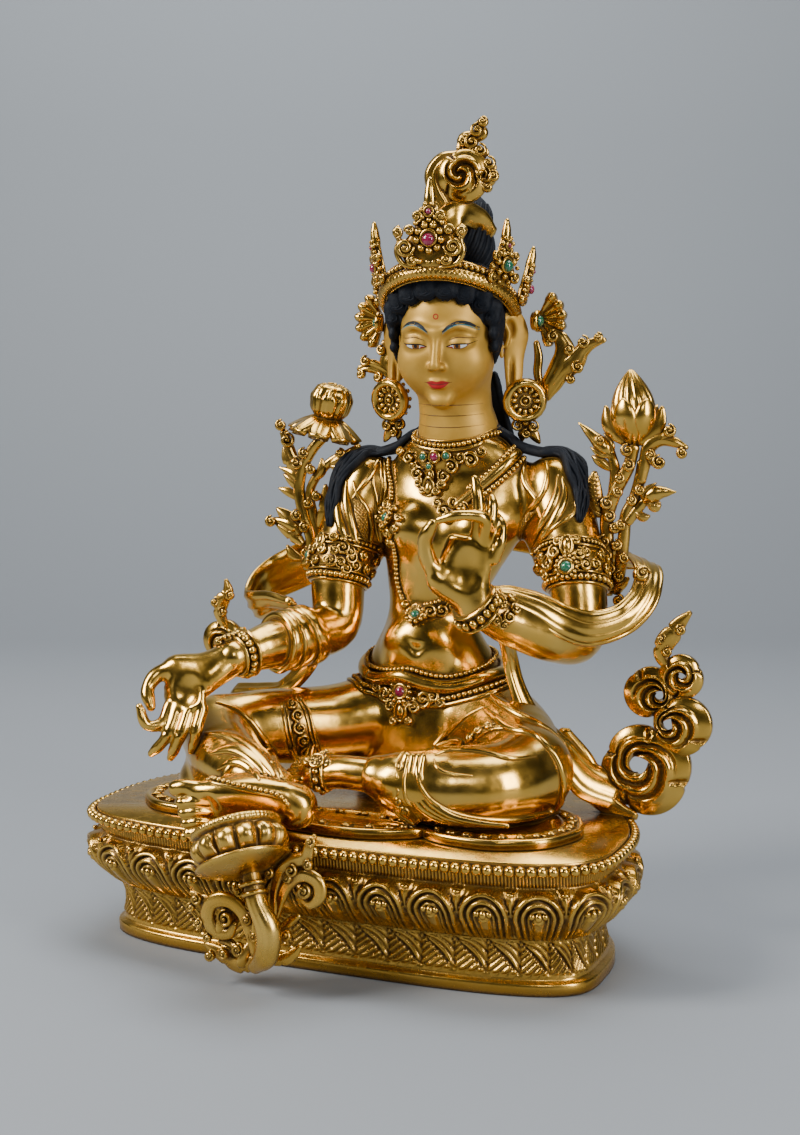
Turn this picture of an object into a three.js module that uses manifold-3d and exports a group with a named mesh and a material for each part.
// A seated goddess on a lotus throne, gilt copper, about a third of a metre tall.
// She sits in the posture of royal ease: the left leg folded, the right foot on its own small lotus.
// Millimetres, +Z up. The origin is the centre of the throne's underside, and she faces -Y.
import * as THREE from "three";
import { mergeVertices } from "three/addons/utils/BufferGeometryUtils.js";
import Module from "manifold-3d";

const wasm = await Module();
wasm.setup();

// Driving dimensions of the throne
const THRONE_LENGTH = 222;
const THRONE_DEPTH = 134;
const THRONE_FRONT = 80;
const WIDEST_FORWARD = 32;
const FRONT_SQUARENESS = 3.6;
const BACK_SQUARENESS = 2.2;
const FRONT_RAKE = 6;
const FLANGE_HEIGHT = 5;
const FLANGE_INSET = 8;
const WAIST_INSET = 12;
const WEAVE_TOP = 21;
const PETAL_TOP = 44;
const PETAL_BULGE = 2;
const PETAL_COUNT = 30;
const PETAL_GROOVE = 3.4;
const STAMEN_INSET = 3.4;
const BEAD_HEIGHT = 51.5;
const THRONE_HEIGHT = 54;

// Driving dimensions of the figure and what she wears and holds
const FIGURE_HEIGHT = 280;
const SEAT_GAP = 0.3;
const PIECE_GAP = 0.35;
const HEAD_TILT = 9;
const HEAD_TURN = 6;
const EAR_DISC_RADIUS = 8.2;
const PAD_PETALS = 10;
const KEPT_FACING = 0.75;
const FORM_TOLERANCE = 0.71;
const THRONE_TOLERANCE = 0.2;
const SLIVER_TOLERANCE = 0.05;
const STONE_SIDES = 7;
const STONE_RISE = 0.45;
const STONE_SEARCH = 8;
const BRACELET_BEAD = 1.9;

// The figure is carved in parts of her own height, which was 280 when the proportions were set.
const k = FIGURE_HEIGHT / 280;
const V = (x, y, z) => new THREE.Vector3(x * k, y * k, z * k);

const COLOURS = {
  gold: { color: 0xc98f2b, metalness: 1, roughness: 0.25 },
  satinGold: { color: 0xc9963a, metalness: 1, roughness: 0.45 },
  turquoise: { color: 0x1f6b4a, metalness: 0, roughness: 0.35 },
  garnet: { color: 0x5a1230, metalness: 0, roughness: 0.3 },
};

const FRONT = new THREE.Vector3(0, -1, 0);
const mix = (a, b, t) => a + (b - a) * t;

// A geometry as a solid, and a solid as a geometry

function solidOf(geometry) {
  const bare = geometry.clone();
  bare.deleteAttribute("normal");
  bare.deleteAttribute("uv");
  const merged = mergeVertices(bare, 1e-4);
  const vertProperties = merged.attributes.position.array;
  const triVerts = new Uint32Array(merged.index.array);
  return facingOut(vertProperties, triVerts);
}

function facingOut(vertProperties, triVerts) {
  const made = new wasm.Manifold(new wasm.Mesh({ numProp: 3, vertProperties, triVerts }));
  if (made.volume() > 0) return made;
  for (let i = 0; i < triVerts.length; i += 3)
    [triVerts[i + 1], triVerts[i + 2]] = [triVerts[i + 2], triVerts[i + 1]];
  return new wasm.Manifold(new wasm.Mesh({ numProp: 3, vertProperties, triVerts }));
}

function geometryOf(solid) {
  const mesh = solid.getMesh();
  const geometry = new THREE.BufferGeometry();
  const position = new THREE.BufferAttribute(new Float32Array(mesh.vertProperties), 3);
  geometry.setAttribute("position", position);
  geometry.setIndex(new THREE.BufferAttribute(new Uint32Array(mesh.triVerts), 1));
  return geometry;
}

const join = (solids) => solids.reduce((a, b) => a.add(b));

// Takes out points that the form can spare. Each is drawn onto a neighbour, the nearest pairs first,
// where the faces round it then pass within the tolerance of where it was and keep their facing.
function spare(solid, tolerance) {
  const mesh = solid.getMesh();
  const points = [];
  for (let i = 0; i < mesh.vertProperties.length; i += 3)
    points.push(new THREE.Vector3().fromArray(mesh.vertProperties, i));
  const faces = [];
  const around = points.map(() => new Set());
  for (let i = 0; i < mesh.triVerts.length; i += 3) {
    const face = Array.from(mesh.triVerts.slice(i, i + 3));
    for (const v of face) around[v].add(faces.length);
    faces.push(face);
  }
  const neighbours = (v) => new Set([...around[v]].flatMap((f) => faces[f]).filter((w) => w !== v));
  const facing = ([a, b, c]) =>
    points[b].clone().sub(points[a]).cross(points[c].clone().sub(points[a])).normalize();
  const drawnFace = (f, from, to) => faces[f].map((v) => (v === from ? to : v));
  const canDraw = (from, to) => {
    const near = neighbours(to);
    if ([...neighbours(from)].filter((v) => near.has(v)).length !== 2) return false;
    const way = points[from].clone().sub(points[to]);
    for (const f of around[from]) {
      if (faces[f].includes(to)) continue;
      const after = facing(drawnFace(f, from, to));
      if (after.dot(facing(faces[f])) < KEPT_FACING || Math.abs(after.dot(way)) > tolerance) return false;
    }
    return true;
  };
  const draw = (from, to) => {
    for (const f of [...around[from]]) {
      if (faces[f].includes(to)) {
        for (const v of faces[f]) around[v].delete(f);
        faces[f] = null;
        continue;
      }
      faces[f] = drawnFace(f, from, to);
      around[to].add(f);
    }
    around[from].clear();
  };
  for (let changed = true; changed; ) {
    changed = false;
    const pairs = [];
    for (let from = 0; from < points.length; from++)
      for (const to of neighbours(from)) pairs.push([points[from].distanceTo(points[to]), from, to]);
    pairs.sort((a, b) => a[0] - b[0]);
    for (const [, from, to] of pairs) {
      if (!around[from].size || !neighbours(from).has(to) || !canDraw(from, to)) continue;
      draw(from, to);
      changed = true;
    }
  }
  const kept = [...new Set(faces.filter(Boolean).flat())];
  const place = new Map(kept.map((v, i) => [v, i]));
  const vertices = kept.flatMap((v) => points[v].toArray());
  const triangles = faces.filter(Boolean).flatMap((face) => face.map((v) => place.get(v)));
  return facingOut(new Float32Array(vertices), new Uint32Array(triangles));
}

// Rings of points, joined into one closed skin with a fan at each end
function loft(rings) {
  const count = rings[0].length;
  const vertices = rings.flat().flatMap((p) => [p.x, p.y, p.z]);
  const faces = [];
  for (let r = 0; r + 1 < rings.length; r++)
    for (let i = 0; i < count; i++) {
      const a = r * count + i;
      const b = r * count + ((i + 1) % count);
      faces.push(a, b, b + count, a, b + count, a + count);
    }
  for (const [ring, start, flip] of [
    [rings[0], 0, true],
    [rings.at(-1), (rings.length - 1) * count, false],
  ]) {
    const middle = ring.reduce((s, p) => s.add(p), new THREE.Vector3()).divideScalar(count);
    const hub = vertices.length / 3;
    vertices.push(middle.x, middle.y, middle.z);
    for (let i = 0; i < count; i++) {
      const next = (i + 1) % count;
      if (flip) faces.push(start + next, start + i, hub);
      else faces.push(start + i, start + next, hub);
    }
  }
  return facingOut(new Float32Array(vertices), new Uint32Array(faces));
}

// A value that is listed at each point of a path, read anywhere along it
function along(list, t) {
  const pair = (v) => (Array.isArray(v) ? v : [v, v]);
  if (list.length === 1) return pair(list[0]);
  const place = t * (list.length - 1);
  const i = Math.min(Math.floor(place), list.length - 2);
  const [a, b] = [pair(list[i]), pair(list[i + 1])];
  return [mix(a[0], b[0], place - i), mix(a[1], b[1], place - i)];
}

// A way that is listed at each point of a path, read anywhere along it
function wayAlong(list, t) {
  const place = t * (list.length - 1);
  const i = Math.min(Math.floor(place), list.length - 2);
  return list[i].clone().lerp(list[i + 1], place - i);
}

// A limb, stem or band: oval sections along a curve, with rounded ends.
// Each size is a radius, or a pair of half width and half thickness.
// up is the way that the thickness points, or a list of such ways where the band turns over.
function sweep(points, sizes, { sides = 8, steps = points.length * 2, up = null, blunt = 0.8 } = {}) {
  const curve = new THREE.CatmullRomCurve3(points);
  const rings = [];
  let normal = new THREE.Vector3(0.31, 0.17, 0.93);
  let lean = up;
  const ring = (centre, tangent, a, b) => {
    if (lean) normal = lean.clone();
    normal.addScaledVector(tangent, -normal.dot(tangent)).normalize();
    const side = new THREE.Vector3().crossVectors(tangent, normal);
    const made = [];
    for (let i = 0; i < sides; i++) {
      const angle = (2 * Math.PI * (i + 0.5)) / sides;
      const out = side.clone().multiplyScalar(a * k * Math.cos(angle));
      made.push(out.addScaledVector(normal, b * k * Math.sin(angle)).add(centre));
    }
    rings.push(made);
  };
  for (let s = 0; s <= steps; s++) {
    const t = s / steps;
    const centre = curve.getPoint(t);
    const tangent = curve.getTangent(t);
    const [a, b] = along(sizes, t);
    const reach = Math.min(a, b) * k * blunt;
    if (Array.isArray(up)) lean = wayAlong(up, t);
    if (s === 0) ring(centre.clone().addScaledVector(tangent, -reach), tangent, a * 0.55, b * 0.55);
    ring(centre, tangent, a, b);
    if (s === steps) ring(centre.clone().addScaledVector(tangent, reach), tangent, a * 0.55, b * 0.55);
  }
  return loft(rings);
}

// An egg or disc, its three radii along the axes of turn
function ball(centre, rx, ry, rz, { around = 10, rows = 6, turn = [0, 0, 0] } = {}) {
  const geometry = new THREE.SphereGeometry(1, around, rows);
  geometry.scale(rx * k, ry * k, rz * k);
  geometry.applyMatrix4(new THREE.Matrix4().makeRotationFromEuler(new THREE.Euler(...turn)));
  geometry.translate(centre.x, centre.y, centre.z);
  return solidOf(geometry);
}

// A leaf, petal or flame: a flat blade that swells and comes to a point
function blade(points, width, thickness, up, steps = 5) {
  const sizes = [0.35, 0.85, 1, 0.7, 0.16].map((s) => [s * width, Math.max(s, 0.4) * thickness]);
  return sweep(points, sizes, { sides: 6, steps, up, blunt: 0.5 });
}

// Throne

// The bead row's line in plan: a squared front half, a rounder and deeper back half, and its turn in between
function throneCurve(angle) {
  const [c, s] = [Math.cos(angle), Math.sin(angle)];
  const frontHalf = s < 0;
  const power = 2 / (frontHalf ? FRONT_SQUARENESS : BACK_SQUARENESS);
  const reach = frontHalf ? THRONE_FRONT - WIDEST_FORWARD : THRONE_DEPTH - THRONE_FRONT + WIDEST_FORWARD;
  return new THREE.Vector2(
    (THRONE_LENGTH / 2) * Math.sign(c) * Math.abs(c) ** power,
    reach * Math.sign(s) * Math.abs(s) ** power - WIDEST_FORWARD,
  );
}

// Points spaced evenly along that line, each with the way out of it
function throneOutline(count) {
  const samples = 2400;
  const points = [];
  for (let i = 0; i <= samples; i++) points.push(throneCurve((2 * Math.PI * i) / samples - Math.PI / 2));
  const lengths = [0];
  for (let i = 1; i <= samples; i++) lengths.push(lengths[i - 1] + points[i].distanceTo(points[i - 1]));
  const outline = [];
  let i = 1;
  for (let n = 0; n < count; n++) {
    const target = (lengths[samples] * n) / count;
    while (lengths[i] < target) i++;
    const share = (target - lengths[i - 1]) / (lengths[i] - lengths[i - 1]);
    const place = points[i - 1].clone().lerp(points[i], share);
    const before = points[(i - 12 + samples) % samples];
    const after = points[(i + 11) % samples];
    const run = after.clone().sub(before).normalize();
    outline.push({ place, out: new THREE.Vector2(run.y, -run.x) });
  }
  return outline;
}

const PETAL_RISE = PETAL_TOP - WEAVE_TOP;
const STAMEN_TOP = BEAD_HEIGHT - 2.2;

// Height and stand-out of each level of the throne's side, from the bead row's line
const THRONE_LEVELS = [
  [0, -FLANGE_INSET],
  [FLANGE_HEIGHT, -FLANGE_INSET],
  [FLANGE_HEIGHT + 2.5, -WAIST_INSET],
  [WEAVE_TOP, -WAIST_INSET],
  [WEAVE_TOP + PETAL_RISE * 0.3, mix(-WAIST_INSET, PETAL_BULGE, 0.55)],
  [WEAVE_TOP + PETAL_RISE * 0.65, PETAL_BULGE],
  [WEAVE_TOP + PETAL_RISE * 0.88, PETAL_BULGE * 0.4],
  [PETAL_TOP, -STAMEN_INSET],
  [STAMEN_TOP, -STAMEN_INSET],
  [BEAD_HEIGHT, 0],
  [THRONE_HEIGHT, -1.6],
];

// How deep the carving goes at a height of the petal band, by place across one petal
function petalCarving(z, across) {
  if (z <= WEAVE_TOP || z >= PETAL_TOP) return 0;
  const rise = (z - WEAVE_TOP) / PETAL_RISE;
  const edge = Math.abs(across * 2 - 1);
  const groove = edge > 0.9 ? PETAL_GROOVE * Math.sin(Math.PI * Math.min(1, rise + 0.15)) : 0;
  const shoulder = edge > 0.4 && rise > 0.8 ? PETAL_GROOVE * 0.4 : 0;
  return groove + shoulder;
}

function throne() {
  const columns = 4;
  const outline = throneOutline(PETAL_COUNT * columns);
  const back = THRONE_DEPTH - THRONE_FRONT;
  const rings = THRONE_LEVELS.map(([z, stand]) =>
    outline.map(({ place, out }, n) => {
      const side = stand - petalCarving(z, (n % columns) / columns);
      const rake = (FRONT_RAKE * (1 - z / THRONE_HEIGHT) * (back - place.y)) / THRONE_DEPTH;
      return new THREE.Vector3(place.x + out.x * side, place.y + out.y * side + rake, z);
    }),
  );
  return spare(loft(rings), THRONE_TOLERANCE);
}

// Figure. Her own frame has its height measured from the throne's top.

const MARK = {
  headCentre: V(19, 21, 190),
  hipRight: V(-4, 20, 31),
  hipLeft: V(33, 20, 31),
  kneeRight: V(-63, -31, 28),
  kneeLeft: V(67, -16, 20),
  ankleRight: V(-16, -72, 17),
  ankleLeft: V(18, -51, 21),
  shoulderRight: V(-21, 28, 128),
  shoulderLeft: V(63, 28, 129),
  elbowRight: V(-27, 6, 70),
  elbowLeft: V(80, 5, 72),
  wristRight: V(-49, -43, 62),
  wristLeft: V(51, -38, 88),
};

// Height, centre and half sizes of the body's slices, from the seat to the neck
const TORSO = [
  [2, 14, 22, 36, 28],
  [18, 13, 23, 37, 28],
  [36, 12, 23, 34, 25],
  [53, 11.5, 23, 30, 22],
  [62, 11, 22, 25, 19.5],
  [70, 11, 21.5, 20, 16.5],
  [78, 12, 22, 19.5, 15],
  [92, 15, 23, 24.5, 17],
  [108, 19, 24, 30.5, 19],
  [125, 21, 26, 35, 17],
  [137, 21, 28, 32, 13.5],
  [144, 21, 27.5, 24, 14],
  [151, 21, 26.6, 17, 13.5],
  [169, 20, 22, 13.5, 12],
];

function slices(list, sides) {
  return loft(list.map(([z, x, y, w, d]) => {
    const ring = [];
    for (let i = 0; i < sides; i++) {
      const angle = (2 * Math.PI * (i + 0.5)) / sides;
      ring.push(V(x + w * Math.cos(angle), y + d * Math.sin(angle), z));
    }
    return ring;
  }));
}

function torso() {
  const breasts = [6, 34].map((x) => ball(V(x, 10, 112), 9.5, 8, 9, { around: 7, rows: 5 }));
  return [slices(TORSO, 14), ...breasts];
}

function arms() {
  const m = MARK;
  const right = [m.shoulderRight, V(-25, 21, 111), V(-28, 13, 90), m.elbowRight, V(-34, -11, 67),
    V(-41, -27, 65), m.wristRight];
  const left = [m.shoulderLeft, V(70, 21, 113), V(77, 13, 93), m.elbowLeft, V(74, -10, 73.5),
    V(63, -25, 80), m.wristLeft];
  return [right, left].map((points) =>
    sweep(points, [12, 11, 10, 10, 10.2, 9.6, 7.2], { sides: 8, steps: 8 }));
}

function fingers(list) {
  return list.map(([points, size]) =>
    sweep(points.map((p) => V(...p)), [size, size * 0.95, size * 0.85, size * 0.6],
      { sides: 5, steps: 4, blunt: 0.6 }),
  );
}

function handRight() {
  const palm = sweep([MARK.wristRight, V(-55, -51, 56), V(-62, -56, 47), V(-64, -57, 42)],
    [[7, 5.5], [8.5, 5], [9.6, 4.4], [9, 3.6]], { sides: 8, steps: 3, up: new THREE.Vector3(0, -1, 0.25) });
  return [palm, ...fingers([
    [[[-66, -54, 57], [-73, -58, 56], [-76.5, -62, 51], [-75, -65, 45]], 3.2],
    [[[-70, -58, 42], [-71.5, -64, 36.5], [-75.5, -67, 36.5], [-78.5, -67, 44]], 2.7],
    [[[-68, -58, 42], [-69.5, -62, 33], [-72, -63.5, 28], [-75, -63, 24.5]], 2.8],
    [[[-63, -58, 42], [-64, -62, 33], [-65, -63.5, 27], [-67.5, -62.5, 23]], 2.8],
    [[[-58, -57, 43], [-57, -60, 35], [-57, -61.5, 31], [-58.5, -61, 27]], 2.6],
  ])];
}

function handLeft() {
  const palm = sweep([MARK.wristLeft, V(49.5, -41.5, 94), V(49, -43, 101), V(50, -43, 109)],
    [[7, 5.5], [8.5, 5], [10, 4.6], [9.4, 3.8]],
      { sides: 8, steps: 3, up: new THREE.Vector3(0.25, -1, 0.1) });
  return [palm, ...fingers([
    [[[42, -45, 97], [37.5, -48, 104], [37, -51, 112], [40.5, -52, 118]], 3.3],
    [[[54, -43, 110], [57, -45.5, 119], [50, -50, 122], [42.5, -52, 121]], 2.7],
    [[[46, -43, 110], [48, -44, 119], [49, -43, 127], [47.5, -40, 134]], 2.7],
    [[[51, -42, 111], [54, -42, 121], [53.5, -40, 129], [50.5, -36, 135]], 2.8],
    [[[57, -42, 109], [60, -42, 116], [60.5, -40.5, 121], [58.5, -38, 126]], 2.5],
  ])];
}

function legs() {
  const m = MARK;
  return [
    sweep([m.hipRight, V(-27, 1, 28), V(-47, -18, 29), m.kneeRight], [19, 16, 15, 15],
      { sides: 10, steps: 4 }),
    sweep([m.kneeRight, V(-50, -49, 23), V(-33, -63, 20), m.ankleRight], [15, 14.5, 12, 8.5],
      { sides: 10, steps: 4 }),
    sweep([m.hipLeft, V(50, 6, 27), m.kneeLeft], [22, 19.5, 17], { sides: 10, steps: 3 }),
    sweep([m.kneeLeft, V(60, -33, 17.5), V(44, -44, 17.5), V(29, -50, 19), m.ankleLeft],
      [17, 16.5, 15.5, 12.5, 8], { sides: 12, steps: 6 }),
  ];
}

function feet() {
  const sole = new THREE.Vector3(0, -0.9, -0.25);
  const right = sweep([V(-8, -75, 14), V(-18, -80, 15), V(-34, -84, 14.5), V(-44, -85, 12)],
    [[6.5, 7], [7, 6.5], [8.6, 5], [8.8, 3.6]], { sides: 8, steps: 4, up: sole });
  const toesRight = [0, 1, 2, 3, 4].map((i) => {
    const z = 19.5 - i * 3.6;
    const reach = -52 + i * 1.2;
    return sweep([V(-39, -85, z - 1), V(reach, -87, z)], [2.6 - i * 0.2, 2.4 - i * 0.2],
      { sides: 5, steps: 1 });
  });
  const left = sweep([V(19, -51, 21), V(6, -51, 21.5), V(-8, -49, 20), V(-18, -48, 17.5)],
    [[6.4, 6.6], [6.6, 7], [7, 6], [5.6, 2.4]], { sides: 8, steps: 5, up: new THREE.Vector3(0, -0.6, 0.8) });
  return [right, ...toesRight, left];
}

// Cloth of the skirt that spreads on the throne under each knee and before the ankles
function skirtHems() {
  const flat = (x, y, rx, ry, height) => {
    const geometry = new THREE.CylinderGeometry(1, 1.04, height * k, 16);
    geometry.rotateX(Math.PI / 2);
    geometry.scale(rx * k, ry * k, 1);
    geometry.translate(x * k, y * k, (height * k) / 2);
    return solidOf(geometry);
  };
  const drop = sweep([V(21, -53, 33), V(14, -58, 24), V(13, -61, 12), V(20, -62, 3)],
    [[3, 2], [5.5, 2.2], [6.5, 2.2], [4, 2]], { sides: 6, steps: 4, up: new THREE.Vector3(-0.7, -0.7, 0) });
  const underKnee = ball(V(-58, -36, 9), 20, 18, 14, { around: 10, rows: 6 });
  return [flat(60, -33, 34, 31, 4), flat(-64, -38, 27, 24, 4), flat(4, -54, 34, 14, 4), underKnee, drop];
}

// Head, in its own frame: the origin is its centre, and it faces -Y

const headPlace = new THREE.Matrix4()
  .makeTranslation(MARK.headCentre.x, MARK.headCentre.y, MARK.headCentre.z)
  .multiply(new THREE.Matrix4().makeRotationZ(THREE.MathUtils.degToRad(HEAD_TURN)))
  .multiply(new THREE.Matrix4().makeRotationX(THREE.MathUtils.degToRad(HEAD_TILT)));

function placed(solid, matrix) {
  const geometry = geometryOf(solid);
  geometry.applyMatrix4(matrix);
  return solidOf(geometry);
}

// Height, centre and half sizes of the skull's slices, from the chin to the crown
const SKULL = [
  [-27.5, 0, -9, 5, 5],
  [-25, 0, -8, 10.5, 11],
  [-19, 0, -5, 15.5, 17.5],
  [-9, 0, -2, 19.8, 22],
  [3, 0, 0, 21.8, 24],
  [14, 0, 1, 21.8, 24],
  [26, 0, 3, 17, 18],
];

function head() {
  const nose = sweep([V(0, -22.4, 3), V(0, -24.6, -5), V(0, -26.2, -8.5)], [[1.6, 1.6], [1.9, 2], [2.8, 1.6]],
    { sides: 6, steps: 2 });
  const ears = [-0.9, 1].map((s) =>
    sweep([V(24 * s, 4, 7), V(26.5 * s, 6, 1), V(26.5 * s, 5, -10), V(27 * s, 2, -22)],
      [[4.6, 2], [6.2, 2.4], [5, 2], [3.6, 1.8]],
        { sides: 6, steps: 4, up: new THREE.Vector3(0.35 * s, -0.9, 0) }));
  const discs = [-0.85, 1].map((s) =>
    ball(V(30.5 * s, 1, -26), EAR_DISC_RADIUS, 3.4, EAR_DISC_RADIUS,
      { around: 10, rows: 4, turn: [0, 0, s * 0.35] }));
  const pendants = [-0.85, 1].map((s) =>
    sweep([V(30 * s, 2, -34), V(33 * s, 3, -38), V(36 * s, 4, -41)], [[4.6, 3], [5, 3.2], [2.4, 2]],
      { sides: 6, steps: 2 }));
  return [slices(SKULL, 14), nose, ...ears, ...discs, ...pendants];
}

function hair() {
  const cap = ball(V(0, 4, 12), 23.4, 24.6, 20.5, { around: 14, rows: 7 });
  const fringe = [-17.5, -9, 9, 17.5].map((x) =>
    ball(V(x, -Math.sqrt(1 - (x / 25) ** 2) * 21 + 1.5, 20 - Math.abs(x) * 0.35), 7, 3.4, 4.4,
      { around: 7, rows: 4 }));
  const locks = [-1, 1].map((s) =>
    sweep([V(21 * s, -6, 10), V(21.5 * s, -6, 0), V(20.5 * s, -8, -11)], [[4, 2.2], [4.2, 2.2], [1, 1]],
      { sides: 5, steps: 3, up: new THREE.Vector3(s, -0.3, 0) }));
  return [cap, ...fringe, ...locks];
}

// The topknot, and the gilt bow and flame that crown it
function finial() {
  const face = new THREE.Vector3(0.25, -0.97, 0);
  return [
    ball(V(22, 28, 234), 13, 12, 17, { around: 9, rows: 6 }),
    sweep([V(8, 14, 226), V(16, 8, 231), V(26, 12, 239), V(31, 22, 237), V(33, 30, 232)],
      [[4, 2], [6, 2.6], [6, 2.6], [5, 2]],
      { sides: 5, steps: 6, up: face }),
    sweep([V(25, 10, 226), V(24, 13, 237), V(18, 15, 244), V(16.5, 15, 253), V(21.5, 15, 259.5),
      V(30, 15, 261), V(37, 15, 256),
      V(35, 15, 250), V(28, 15, 249), V(23, 15, 253), V(26, 15, 257)],
      [[3.6, 3], [4.4, 3.4], [4.6, 3.6], [4.6, 3.6], [4.6, 3.6], [4.6, 3.6], [4.4, 3.6], [4, 3.6],
        [3.6, 3.4]],
      { sides: 6, steps: 16, up: face }),
    sweep([V(31, 17, 261), V(33, 20, 265), V(27.5, 21, 269), V(31.5, 23, 273), V(30, 25, 276),
      V(32, 26, 279)],
      [[5, 3], [5.6, 2.8], [5, 2.6], [3.6, 2.2], [2.6, 1.8], [1.6, 1.2]],
        { sides: 6, steps: 7, up: face, blunt: 0.5 }),
    blade([V(30, 18, 261), V(34, 19, 264), V(38, 20, 267)], 3, 1.8, face, 3),
    blade([V(28, 18, 261), V(25, 19, 264), V(21, 20, 265)], 3, 1.8, face, 3),
  ];
}

// Ornaments on the body

// A band round a limb or the waist: centre, axis, half width and depth of the ring,
// and half sizes of its section
function ringRound(centre, axis, rx, ry, band, around = 10) {
  const shape = new THREE.TorusGeometry(1, 0.1, 4, around);
  const position = shape.attributes.position;
  for (let i = 0; i < position.count; i++) {
    const p = new THREE.Vector3().fromBufferAttribute(position, i);
    const angle = Math.atan2(p.y, p.x);
    const out = ((Math.hypot(p.x, p.y) - 1) / 0.1) * band[0];
    position.setXYZ(i, (rx + out) * k * Math.cos(angle), (ry + out) * k * Math.sin(angle),
      (p.z / 0.1) * band[1] * k);
  }
  const turn = new THREE.Quaternion().setFromUnitVectors(new THREE.Vector3(0, 0, 1),
    axis.clone().normalize());
  shape.applyQuaternion(turn);
  shape.translate(centre.x, centre.y, centre.z);
  return solidOf(shape);
}

function ornaments() {
  const m = MARK;
  const armletRight = V(-27, 16, 98);
  const armletLeft = V(74, 17, 102);
  const direction = (a, b) => b.clone().sub(a);
  return [
    ringRound(armletRight, direction(armletRight, m.elbowRight), 10.6, 10.6, [2.4, 7]),
    ringRound(armletLeft, direction(armletLeft, m.elbowLeft), 10.6, 10.6, [2.4, 7]),
    ringRound(V(-46.5, -38, 63), V(-8, -16, -3), 8.4, 8.4, [BRACELET_BEAD * 1.3, 3.6]),
    ringRound(V(54, -35, 85.5), V(-12, -13, 10), 8.4, 8.4, [BRACELET_BEAD * 1.3, 3.6]),
    ringRound(V(11, 22.5, 57), V(0, 0.08, 1), 28, 21, [2.6, 4], 16),
    ringRound(V(21, 25, 146), V(0, 0.35, 1), 17, 14.5, [2, 2], 14),
    sweep([V(15, 16, 146), V(16.5, 13.5, 136), V(17.5, 8.5, 126)], [[9, 3], [8, 3], [3, 2.4]],
      { sides: 6, steps: 3, up: new THREE.Vector3(0, -1, 0) }),
    sweep([V(11, -1, 54), V(10, -2, 47), V(9.5, -2, 39)], [[9, 2], [8, 2.4], [3, 1.4]],
      { sides: 6, steps: 3, up: new THREE.Vector3(0, -1, 0) }),
    sweep([V(0, 24, 143), V(-6, 14, 133), V(-8, 7, 114), V(-4, 5, 98), V(3, 4.5, 84), V(14, 4.5, 78),
      V(26, 6, 82)],
      [[1.8, 1.8], [2, 1.8], [3.4, 2.2], [2, 1.8], [2, 1.8], [3.6, 2.2], [2, 1.8]], { sides: 4, steps: 9 }),
    sweep([V(44, 18, 142), V(36, 8, 129), V(27, 4, 119), V(17, 5, 108)],
      [[4, 1.4], [4.4, 1.4], [4, 1.4], [2, 1.2]],
      { sides: 5, steps: 4, up: new THREE.Vector3(0, -1, 0.2) }),
  ];
}

// Locks of hair over the shoulders and down the back, and the shawl's edges below them
function mantle() {
  const out = (s) => new THREE.Vector3(s * 0.8, 0.2, 0.6);
  return [
    sweep([V(1, 34, 147), V(-14, 33, 143), V(-26, 30, 134), V(-33, 27, 120), V(-37, 24, 108)],
      [[4, 3], [6, 3.6], [6.5, 3.6], [5, 3], [2, 1.6]], { sides: 6, steps: 5, up: out(-1) }),
    sweep([V(40, 34, 147), V(55, 33, 144), V(68, 31, 136), V(77, 28, 122), V(82, 24, 107)],
      [[4, 3], [6.5, 3.8], [7, 3.8], [6, 3.4], [2, 1.6]], { sides: 6, steps: 5, up: out(1) }),
    sweep([V(20, 34, 160), V(20, 44, 138), V(19, 45, 112), V(16, 42, 84)],
      [[14, 5], [16, 4.6], [12, 3.8], [4, 2]],
      { sides: 7, steps: 5, up: new THREE.Vector3(0, 1, 0) }),
    sweep([V(-12, 26, 140), V(-18, 14, 128), V(-20, 12, 110), V(-19, 16, 98)],
      [[6, 2.4], [7, 2.6], [6, 2.4], [3, 2]],
      { sides: 5, steps: 4, up: new THREE.Vector3(-0.5, -0.8, 0.2) }),
    sweep([V(54, 26, 140), V(60, 14, 129), V(62, 12, 112), V(60, 15, 98)],
      [[6, 2.4], [7, 2.6], [6, 2.4], [3, 2]],
      { sides: 5, steps: 4, up: new THREE.Vector3(0.5, -0.8, 0.2) }),
  ];
}

// The long scarf: it hangs behind the arms, crosses each forearm, lies down on the throne
// and rises at each side in curls, each a thick disc with a hole, under a flame
const SCARF_THICKNESS = 4;
const CURLS_LEFT = [
  { place: [104, 13, 20], reach: 19.6, hole: 4.6 },
  { place: [107.5, 13, 49.2], reach: 10.6, hole: 2.2 },
  { place: [121.2, 13, 36.5], reach: 11.6, hole: 2.6 },
  { place: [120.4, 13, 56.2], reach: 8.8, hole: 1.8 },
];
const CURLS_RIGHT = [
  { place: [-79, 6, 47], reach: 12, hole: 3 },
  { place: [-76, 5, 63], reach: 7, hole: 1.6 },
];

// The way that each loop's cloth faces along its length, as it turns over beside the elbow
const LOOP_TURNS = [V(0, 1, 0.2), V(0, 1, 0.2), V(0, 1, 0.3), V(0.1, 0.9, 0.5), V(0.2, 0.5, 0.8),
  V(0.3, -0.1, 1), V(0.5, -0.75, 0.5), V(0.35, -0.9, 0.15), V(0.35, -0.85, -0.1), V(0.5, -0.8, 0.1),
  V(0.5, -0.7, 0.4), V(0.45, -0.6, 0.6), V(0.35, -0.55, 0.7), V(0.2, -0.5, 0.8)];
const BACK_LOOP_TURNS = [V(0, 1, 0.2), V(0, 1, 0.2), V(0, 1, 0.2), V(-0.2, 1, 0.1), V(-0.7, 0.7, 0),
  V(-1, 0, -0.1), V(-0.75, -0.45, -0.45), V(-0.4, -0.75, -0.5), V(-0.35, -0.75, -0.5)];

function curl({ place, reach, hole }) {
  const band = (reach - hole) / 2;
  const around = reach > 15 ? 14 : 9;
  return ringRound(V(...place), new THREE.Vector3(0, 1, 0), hole + band, hole + band,
    [band, SCARF_THICKNESS], around);
}

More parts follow.
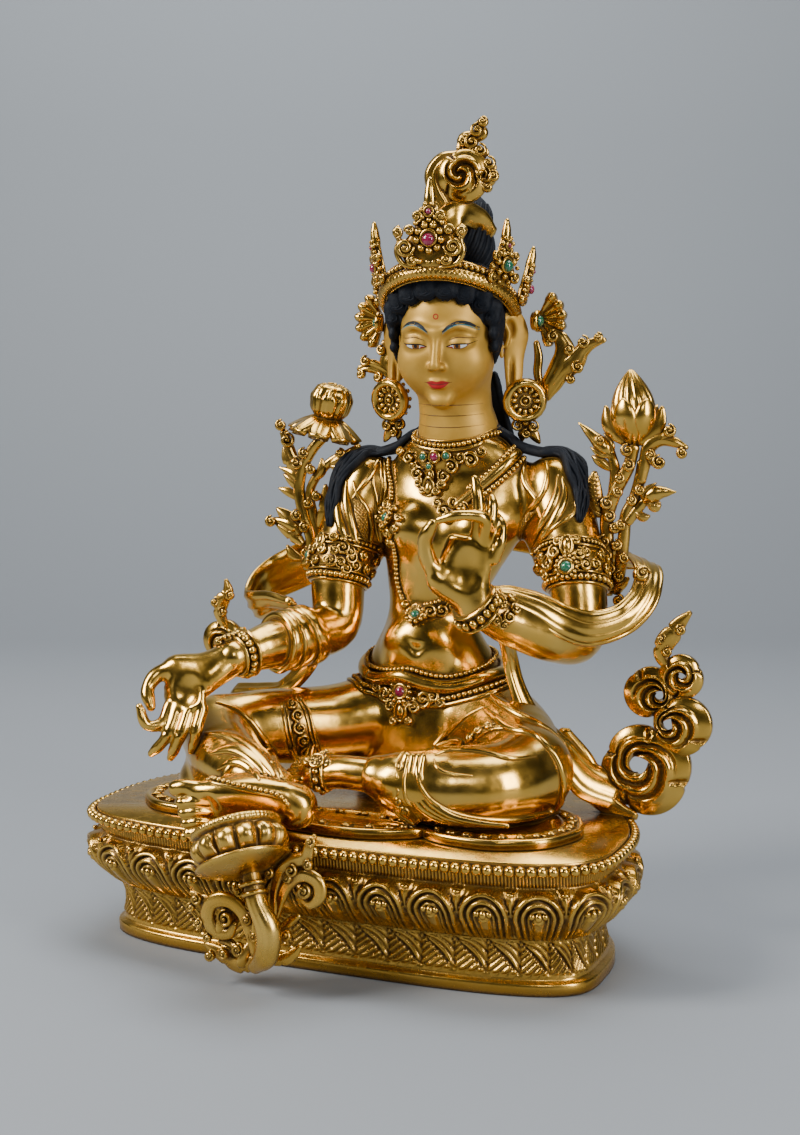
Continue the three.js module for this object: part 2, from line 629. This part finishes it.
function scarf() {
  const face = new THREE.Vector3(0, -1, 0);
  return [
    ...CURLS_LEFT.map(curl),
    ...CURLS_RIGHT.map(curl),
    sweep([V(20, 45.5, 109), V(40, 45.5, 106.5), V(58, 43, 104), V(78, 43, 101), V(94, 38, 99),
      V(102, 27, 98), V(105, 18, 93),
      V(104, 12, 86), V(98, 5, 79), V(88, -6, 76.5), V(80, -16.5, 80.5), V(72, -22, 86),
      V(64, -28.5, 90), V(57, -34, 93)],
      [[7, 2.4], [7, 2.4], [7, 2.4], [7, 2.4], [6.5, 2.4], [5.5, 2.4], [5.2, 2.6], [5.4, 2.8], [6, 3],
        [6.4, 3], [6.4, 3], [6, 3], [5.4, 2.8], [3, 2]],
      { sides: 6, steps: 16, up: LOOP_TURNS }),
    sweep([V(54, -12, 76), V(53, 0, 63), V(55, 2, 52), V(60, 2, 41), V(67, 1, 33), V(76, 1, 24),
      V(84, 4, 14), V(94, 11, 8)],
      [[4, 2.6], [4, 2.6], [4, 2.6], [4.4, 2.8], [5.4, 3], [7, 3.2], [8.4, 3.6], [7, 3.8]],
      { sides: 6, steps: 9, up: new THREE.Vector3(0.7, -0.5, 0.3) }),
    sweep([V(112, 13, 61), V(115.5, 13, 69), V(118.5, 13, 75), V(124, 13, 82)],
      [[4.6, 2.8], [5.2, 2.8], [4.4, 2.4], [1.6, 1.4]],
      { sides: 6, steps: 4, up: face }),
    sweep([V(20, 45.5, 109), V(2, 45.5, 111), V(-16, 43, 110), V(-40, 41, 98), V(-60, 34, 89),
      V(-70, 24, 82), V(-67, 9, 76), V(-53, -1, 79), V(-40, -8, 79)],
      [[7, 2.4], [8, 2.4], [9, 2.4], [9.4, 2.4], [10, 2.4], [9.4, 2.6], [7.6, 3], [5.6, 3], [4, 3]],
      { sides: 6, steps: 13, up: BACK_LOOP_TURNS }),
    ringRound(V(-37, -14, 68.5), V(-12, -24, -4), 10.6, 10.6, [2.2, 6]),
    sweep([V(-33, -8, 66), V(-35, -2, 56), V(-42, 0, 47), V(-50, 1, 41), V(-60, 3, 39), V(-74, 6, 37)],
      [[4.5, 3], [4.4, 3], [4.6, 3], [5, 3], [5.5, 3], [6, 3]],
        { sides: 6, steps: 7, up: new THREE.Vector3(0.4, -0.6, 0.7) }),
    sweep([V(-78, 5, 66), V(-80, 3, 75), V(-80, 1, 82), V(-77.5, 0, 89)],
      [[4, 2.8], [4.4, 2.6], [4, 2.4], [1.4, 1.2]], { sides: 6, steps: 4, up: face }),
  ];
}

function figure() {
  const onHead = [...head(), ...hair()].map((s) => placed(s, headPlace));
  return join([
    ...torso(), ...arms(), ...handRight(), ...handLeft(), ...legs(), ...feet(), ...skirtHems(),
    ...onHead, ...finial(), ...ornaments(), ...mantle(), ...scarf(),
  ]);
}

// Crown: a band with five jewelled leaves, a rosette over each ear and a ribbon that flies out behind it.
// Its angles run from her front towards her left, and its band rises to the front.

const CROWN_CENTRE = [19, 21];
const CROWN_RADIUS = [25.5, 27.5];
const CROWN_FRONT_HEIGHT = 215;
const CROWN_DROP = 12.5;
const CROWN_LEAVES = [
  { name: "front", angle: 0, lean: 1, width: 12.5, height: 36, stone: "garnet", stoneRadius: 2.5 },
  { name: "left", angle: 62, lean: 4, width: 8.5, height: 27, stone: "turquoise", stoneRadius: 2.4 },
  { name: "right", angle: -62, lean: 4, width: 8.5, height: 27, stone: "garnet", stoneRadius: 2.2 },
  { name: "far_left", angle: 98, lean: 7, width: 7.5, height: 25, stone: "garnet", stoneRadius: 2 },
  { name: "far_right", angle: -98, lean: 7, width: 7.5, height: 25, stone: "turquoise", stoneRadius: 2 },
];
const ROSETTE_ANGLE = 104;
const LEAF_STONE_RISE = 0.34;

function crownOut(degrees) {
  const angle = THREE.MathUtils.degToRad(degrees + HEAD_TURN);
  return new THREE.Vector3(Math.sin(angle), -Math.cos(angle), 0);
}

function crownPoint(degrees, lift, out = 0) {
  const way = crownOut(degrees);
  const drop = CROWN_DROP * (1 - Math.cos(THREE.MathUtils.degToRad(degrees)));
  return V(
    CROWN_CENTRE[0] + (CROWN_RADIUS[0] + out) * way.x,
    CROWN_CENTRE[1] + (CROWN_RADIUS[1] + out) * way.y,
    CROWN_FRONT_HEIGHT - drop + lift,
  );
}

function crown() {
  const arc = [];
  for (let i = 0; i <= 8; i++) arc.push(crownPoint(mix(-ROSETTE_ANGLE, ROSETTE_ANGLE, i / 8), 0, 1));
  const parts = [sweep(arc, [[3, 2.6]], { sides: 5, steps: 16, up: new THREE.Vector3(0, 0, 1) })];
  for (const { angle, lean, width, height } of CROWN_LEAVES) {
    const points = [0, 0.3, 0.62, 1].map((t) => crownPoint(angle, 1 + height * t, 1.6 + lean * t));
    parts.push(sweep(points, [[width * 0.8, 2], [width, 2.8], [width * 0.5, 2.6], [width * 0.14, 1.2]],
      { sides: 7, steps: 5, up: crownOut(angle), blunt: 0.5 }));
  }
  for (const s of [-1, 1]) {
    const reach = s > 0 ? 1 : 0.45;
    const rosette = crownPoint(ROSETTE_ANGLE * s, -3, 3.5);
    const place = (x, y, z) => rosette.clone().add(V(x * s * reach, y, z));
    parts.push(ball(rosette, 5, 5, 5, { around: 7, rows: 4 }));
    parts.push(sweep([rosette, place(6, 4, 1), place(9, 6, -4)], [[4, 2], [6.5, 2], [4.5, 2]],
      { sides: 5, steps: 2, up: FRONT }));
    parts.push(sweep([place(3, 5, -4), place(4, 6, -14), place(4.5, 5, -24), place(8, 5, -27),
      place(12, 5, -19),
      place(16, 4, -12), place(24, 4, -9), place(33, 4, -9)],
      [[3, 1.6], [3, 1.6], [3, 1.6], [3, 1.6], [4, 1.8], [6, 2], [4, 1.8], [1.8, 1.4]],
        { sides: 5, steps: 10, up: FRONT }));
    parts.push(blade([place(14, 4, -14), place(12, 4, -7), place(14, 4, -2)], 3, 1.6, FRONT, 3));
  }
  return join(parts);
}

// Lotus sprays that rise beside the shoulders

function leafSpray(list, up) {
  return list.map(([from, by, to, width]) => blade([V(...from), V(...by), V(...to)], width, 1.7, up, 3));
}

function budSpray() {
  const face = new THREE.Vector3(0.3, -0.95, 0);
  const stem = sweep([V(87, 23, 90), V(87, 23, 102), V(88, 23.5, 112), V(89, 24, 124), V(92, 25, 140),
    V(95, 25, 154)],
    [3.8, 3.8, 3.6, 3.2, 2.6, 2.4], { sides: 6, steps: 6 });
  const bud = sweep([V(95, 25, 153), V(95.3, 25, 161), V(95.3, 25, 169), V(94.6, 25, 177)], [4, 9.4, 8, 2],
    { sides: 9, steps: 4, blunt: 0.5 });
  const leaves = leafSpray([
    [[87, 23, 108], [81, 24, 118], [79, 24, 128], 3.6],
    [[88, 24, 124], [82, 24, 134], [79, 24, 146], 4],
    [[88, 24, 112], [98, 24, 119], [111, 24, 128], 4],
    [[91, 24, 134], [101, 24, 138], [115, 24, 147], 4],
    [[98, 24, 119], [104, 24, 118], [109, 24, 120], 3],
    [[101, 24, 138], [106, 24, 138], [112, 24, 137], 3],
  ], face);
  return join([stem, bud, ...leaves]);
}

function openSpray() {
  const face = new THREE.Vector3(0.3, -0.95, 0);
  const stem = sweep([V(-46, 22, 97), V(-48, 22, 108), V(-51, 23, 120), V(-51, 24, 130), V(-48, 25, 142),
    V(-43, 25, 154)],
    [3.4, 3.4, 3.4, 3.2, 2.8, 2.8], { sides: 6, steps: 7 });
  const pod = sweep([V(-42, 25, 154), V(-39, 25, 161), V(-37, 25, 167), V(-36, 25, 171)], [5, 8, 8.4, 7],
    { sides: 9, steps: 3, blunt: 0.4 });
  const tip = new THREE.Vector3(0.3, 0, 0.95).normalize();
  const petals = [];
  for (let i = 0; i < 8; i++) {
    const angle = (2 * Math.PI * i) / 8 + 0.2;
    const way = new THREE.Vector3(Math.cos(angle), Math.sin(angle), -0.3 * Math.cos(angle));
    const at = (r, drop) => V(-41, 25, 157).addScaledVector(way, r * k).add(V(0, 0, -drop));
    petals.push(blade([at(3, -2), at(10, 1), at(16, 5)], 6.4, 1.4, tip.clone().addScaledVector(way, 0.4), 3));
  }
  const leaves = leafSpray([
    [[-47, 24, 104], [-56, 24, 106], [-63, 24, 114], 4],
    [[-50, 24, 116], [-58, 24, 120], [-60, 24, 130], 4],
    [[-50, 24, 132], [-57, 24, 142], [-60, 24, 153], 4],
    [[-48, 24, 110], [-41, 24, 116], [-38, 24, 127], 4],
    [[-50, 24, 122], [-40, 24, 134], [-27, 24, 143], 4.4],
  ], face);
  return join([stem, pod, ...petals, ...leaves]);
}

// The small lotus under her right foot, with its bent stem and scrolling leaves

const PAD_AXIS = new THREE.Vector3(-0.4, 0.36, 0.84).normalize();
const PAD_CENTRE = V(-17.5, -98, 0);

function footLotus() {
  const turn = new THREE.Quaternion().setFromUnitVectors(new THREE.Vector3(0, 1, 0), PAD_AXIS);
  const outline = [[0, -9], [10, -8], [17.8, -5], [17.8, -3.6], [13, -3], [15, 6], [17, 8.5], [16.4, 10],
    [0, 10.2]];
  const geometry = new THREE.LatheGeometry(outline.map(([r, h]) => new THREE.Vector2(r * k, h * k)), 14);
  geometry.applyQuaternion(turn);
  geometry.translate(PAD_CENTRE.x, PAD_CENTRE.y, PAD_CENTRE.z);
  const face = new THREE.Vector3(0, -1, 0);
  const scroll = (points, size) =>
    sweep(points.map((p) => V(...p)), [[size, 2.2], [size * 1.2, 2.4], [size, 2.2]],
      { sides: 5, steps: points.length + 1, up: face });
  const petals = [];
  for (let i = 0; i < PAD_PETALS; i++) {
    const angle = (2 * Math.PI * i) / PAD_PETALS;
    const place = new THREE.Vector3(Math.cos(angle) * 15.6 * k, 2 * k, Math.sin(angle) * 15.6 * k);
    place.applyQuaternion(turn).add(PAD_CENTRE);
    petals.push(ball(place, 4.6, 4.6, 4.6, { around: 6, rows: 4 }));
  }
  return join([
    solidOf(geometry),
    ...petals,
    sweep([V(-14, -99, -7), V(-9, -102, -17), V(-4, -103, -27), V(-6, -101, -37), V(-13, -97, -44)],
      [[3.6, 3.6], [4.4, 4.4], [5.2, 5], [5, 4.4], [3, 2.8]],
      { sides: 7, steps: 6 }),
    scroll([[-9, -96, -36], [-7, -93, -22], [-5, -92, -10], [1, -92, -4], [7, -92, -2], [9, -92, 5],
      [11, -92, 8]], 2.4),
    scroll([[-7, -93, -28], [-2, -92, -14], [5, -92, -8], [12, -92, -9], [12, -92, -16], [5, -92, -19]], 2.6),
    scroll([[-9, -93, -38], [-4, -91, -30], [2, -90, -24]], 2.2),
    scroll([[-13, -94, -40], [-19, -93, -26], [-26, -93, -20], [-34, -93, -24], [-31, -93, -33],
      [-23, -93, -33]], 2.6),
    scroll([[-30, -93, -22], [-36, -92, -23], [-42, -92, -20]], 2),
    scroll([[-14, -94, -44], [-25, -89, -43], [-33, -88, -40], [-40, -88, -41]], 2.4),
  ]);
}

// Stones set in the jewels: name, colour, where each is looked for, the way it faces and its radius
const STONES = [
  ["rosette_left", "turquoise", crownPoint(ROSETTE_ANGLE, -3, 6), crownOut(80), 2.3],
  ["rosette_right", "turquoise", crownPoint(-ROSETTE_ANGLE, -3, 6), crownOut(-80), 2.3],
  ["necklace", "garnet", V(16, 11, 141), V(-0.1, -1, -0.07), 1.9],
  ["armlet_left", "turquoise", V(76.3, 0, 99.6), V(0, -0.95, 0.32), 2.3],
  ["armlet_right", "turquoise", V(-40.3, 8.5, 98.6), V(-0.86, -0.46, 0.22), 2.1],
  ["girdle", "garnet", V(6.4, -2.2, 45), V(-0.11, -0.97, 0.2), 2.2],
  ["chain_breast", "turquoise", V(-3.7, 6.2, 116), V(-0.72, -0.57, 0.41), 2.2],
  ["chain_belly", "turquoise", V(11, 3, 76.7), V(0, -0.75, 0.65), 2],
];

// A low domed stone, seated just off the metal behind it
function stone(centre, facing, radius, metal) {
  const way = facing.clone().normalize();
  const geometry = new THREE.LatheGeometry(
    [[0, -0.35], [1, -0.35], [1, 0], [0.6, STONE_RISE], [0, STONE_RISE * 1.2]].map(([r, h]) =>
      new THREE.Vector2(r * radius * k, h * radius * k)), STONE_SIDES);
  geometry.applyQuaternion(new THREE.Quaternion().setFromUnitVectors(new THREE.Vector3(0, 1, 0), way));
  const seat = solidOf(geometry);
  const step = 0.25;
  const place = centre.clone();
  const moved = () => seat.translate([place.x, place.y, place.z]);
  const touches = () => metal.intersect(moved()).volume() > 0;
  for (let sunk = 0; sunk < STONE_SEARCH && !touches(); sunk += step) place.addScaledVector(way, -step);
  while (touches()) place.addScaledVector(way, step);
  place.addScaledVector(way, PIECE_GAP);
  return moved();
}

// The pieces as a scene

const root = new THREE.Group();
const goddess = new THREE.Group();
goddess.position.z = THRONE_HEIGHT + SEAT_GAP;
root.add(goddess);

function add(parent, name, solid, colour) {
  const mesh = new THREE.Mesh(geometryOf(solid), new THREE.MeshStandardMaterial(COLOURS[colour]));
  mesh.name = name;
  parent.add(mesh);
}

// What is left of a solid once a neighbour has been moved each way by the gap and cut out of it
function clearOf(solid, neighbour, gap = PIECE_GAP) {
  let left = solid;
  for (const [x, y, z] of [[1, 0, 0], [-1, 0, 0], [0, 1, 0], [0, -1, 0], [0, 0, 1], [0, 0, -1]])
    left = left.subtract(neighbour.translate([x * gap, y * gap, z * gap]));
  return left.decompose().sort((a, b) => b.volume() - a.volume())[0];
}

// The side of a box that takes in the whole figure
const CLEAR = FIGURE_HEIGHT * 2;

const throneSolid = throne();
const throneFromSeat = throneSolid.translate([0, 0, -THRONE_HEIGHT - SEAT_GAP]);
const aboveSeat = solidOf(new THREE.BoxGeometry(CLEAR, CLEAR, CLEAR).translate(0, 0, CLEAR / 2));
const body = spare(figure(), FORM_TOLERANCE).intersect(aboveSeat);
const set = (solid, ...neighbours) =>
  neighbours.reduce((left, n) => clearOf(left, n), spare(solid, FORM_TOLERANCE));
const crownSolid = spare(set(crown(), body), SLIVER_TOLERANCE);
const padSolid = spare(set(footLotus(), body, throneFromSeat), SLIVER_TOLERANCE);
const budSolid = spare(set(budSpray(), body), SLIVER_TOLERANCE);
const openSolid = spare(set(openSpray(), body), SLIVER_TOLERANCE);

add(root, "lotus_throne", throneSolid, "gold");
add(goddess, "figure", body, "gold");
add(goddess, "crown", crownSolid, "gold");
add(goddess, "foot_lotus", padSolid, "satinGold");
add(goddess, "lotus_bud_spray", budSolid, "gold");
add(goddess, "open_lotus_spray", openSolid, "gold");
const worn = join([body, crownSolid]);
for (const { name, angle, lean, height, stone: colour, stoneRadius } of CROWN_LEAVES) {
  const place = crownPoint(angle, height * LEAF_STONE_RISE, lean * LEAF_STONE_RISE + 3);
  add(goddess, `crown_${name}_${colour}`, stone(place, crownOut(angle), stoneRadius, worn), colour);
}
for (const [name, colour, centre, facing, radius] of STONES)
  add(goddess, `${name}_${colour}`, stone(centre, facing, radius, worn), colour);

export default root;
